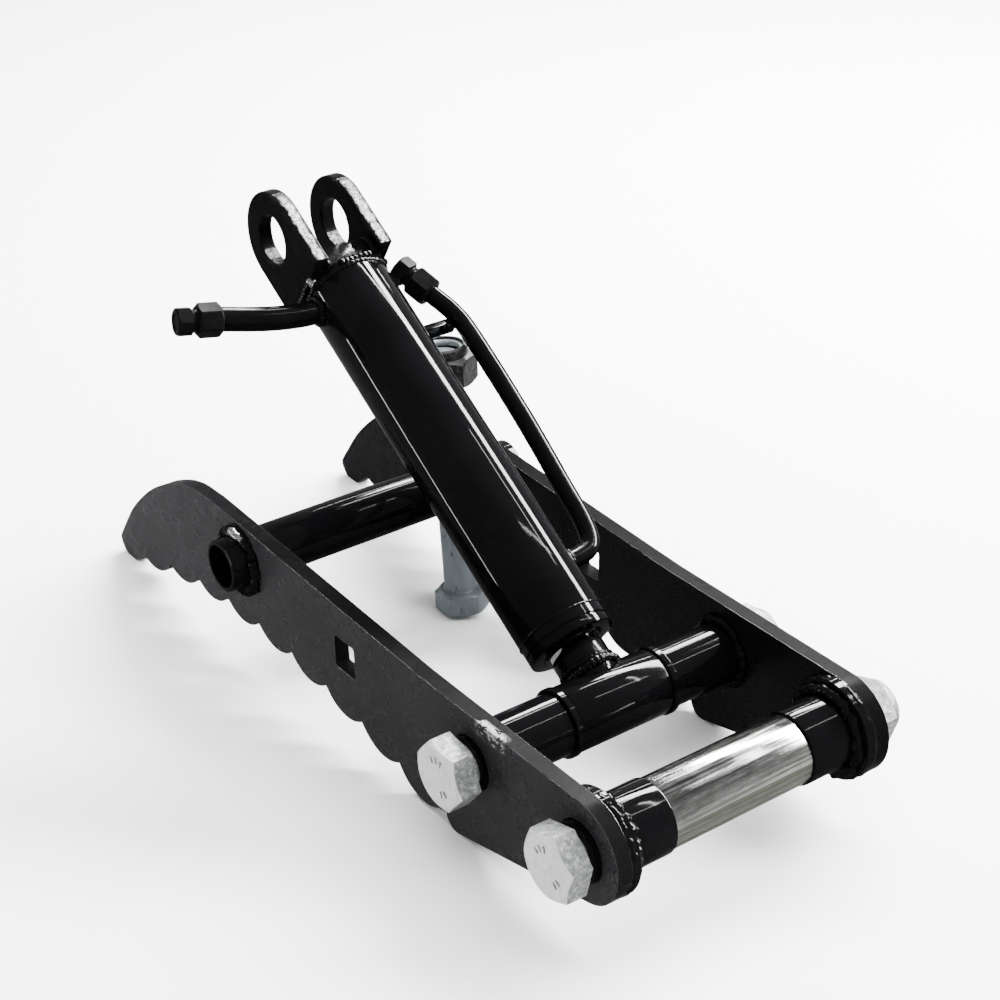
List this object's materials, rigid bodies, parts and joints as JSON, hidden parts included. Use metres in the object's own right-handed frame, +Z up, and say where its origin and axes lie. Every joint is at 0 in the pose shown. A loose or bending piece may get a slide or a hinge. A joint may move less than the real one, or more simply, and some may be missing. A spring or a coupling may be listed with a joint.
{
  "type": "hydraulic thumb",
  "caption": "Hydraulic thumb for a small excavator: toothed side plates, tip crossbar and pivot bolt, with a double-acting cylinder propped on a spare bolt.",
  "frame": {"origin": "middle of the bounding box at floor level", "axes": "+X from the left to the right side plate, along the pivot bolt; +Y from the pivot to the toothed tip; +Z up"},
  "size_m": [0.194, 0.44, 0.2259],
  "materials": {
    "satin_black": "satin",
    "gloss_black": "gloss",
    "zinc": "satin",
    "bare_steel": "satin",
    "chrome_rod": "polished",
    "cast_iron": "matte",
    "bronze": "satin",
    "seal_rubber": "matte",
    "nylon": "matte"
  },
  "bodies": {
    "frame": {"side_plate_left": "satin_black", "side_plate_right": "satin_black", "pivot_boss_left": "gloss_black", "pivot_boss_right": "gloss_black", "rod_boss_left": "gloss_black", "rod_boss_right": "gloss_black", "tip_crossbar": "gloss_black", "prop_bolt": "zinc", "prop_nut": "zinc", "prop_nut_insert": "nylon"},
    "pivot_pin": {"pivot_bolt": "zinc", "pivot_nut": "zinc"},
    "pivot_sleeve": {"pivot_sleeve": "bare_steel"},
    "rod_pin": {"rod_pin_bolt": "zinc", "rod_pin_nut": "zinc"},
    "rod": {"rod_eye": "gloss_black", "rod_eye_bush_left": "bronze", "rod_eye_bush_right": "bronze", "piston_rod": "chrome_rod", "piston": "cast_iron", "piston_seal": "seal_rubber", "piston_wear_ring": "nylon", "piston_nut": "cast_iron"},
    "barrel": {"barrel_tube": "gloss_black", "gland": "gloss_black", "rod_wiper": "seal_rubber", "rod_seal": "seal_rubber", "gland_o_ring": "seal_rubber", "base_cap": "gloss_black", "clevis_ear_left": "gloss_black", "clevis_ear_right": "gloss_black", "base_port_pipe": "gloss_black", "base_port_nut": "gloss_black", "base_port_plug": "gloss_black", "rod_port_pipe": "gloss_black", "rod_port_nut": "gloss_black", "rod_port_plug": "gloss_black", "pipe_bracket": "gloss_black"}
  },
  "joints": [
    {"name": "pivot_turn", "type": "hinge", "parent": "frame", "child": "pivot_pin", "pos_m": [0, -0.1955, 0.046], "axis": [1, 0, 0], "continuous": true},
    {"name": "sleeve_turn", "type": "hinge", "parent": "frame", "child": "pivot_sleeve", "pos_m": [0, -0.1955, 0.046], "axis": [1, 0, 0], "continuous": true},
    {"name": "rod_pin_turn", "type": "hinge", "parent": "frame", "child": "rod_pin", "pos_m": [0, -0.118, 0.046], "axis": [1, 0, 0], "continuous": true},
    {"name": "cylinder_swing", "type": "hinge", "parent": "frame", "child": "rod", "pos_m": [0, -0.118, 0.046], "axis": [1, 0, 0], "range_deg": [0, 85]},
    {"name": "cylinder_stroke", "type": "slide", "parent": "rod", "child": "barrel", "axis": [0, 0.8377, 0.5461], "range_m": [0, 0.1]}
  ]
}
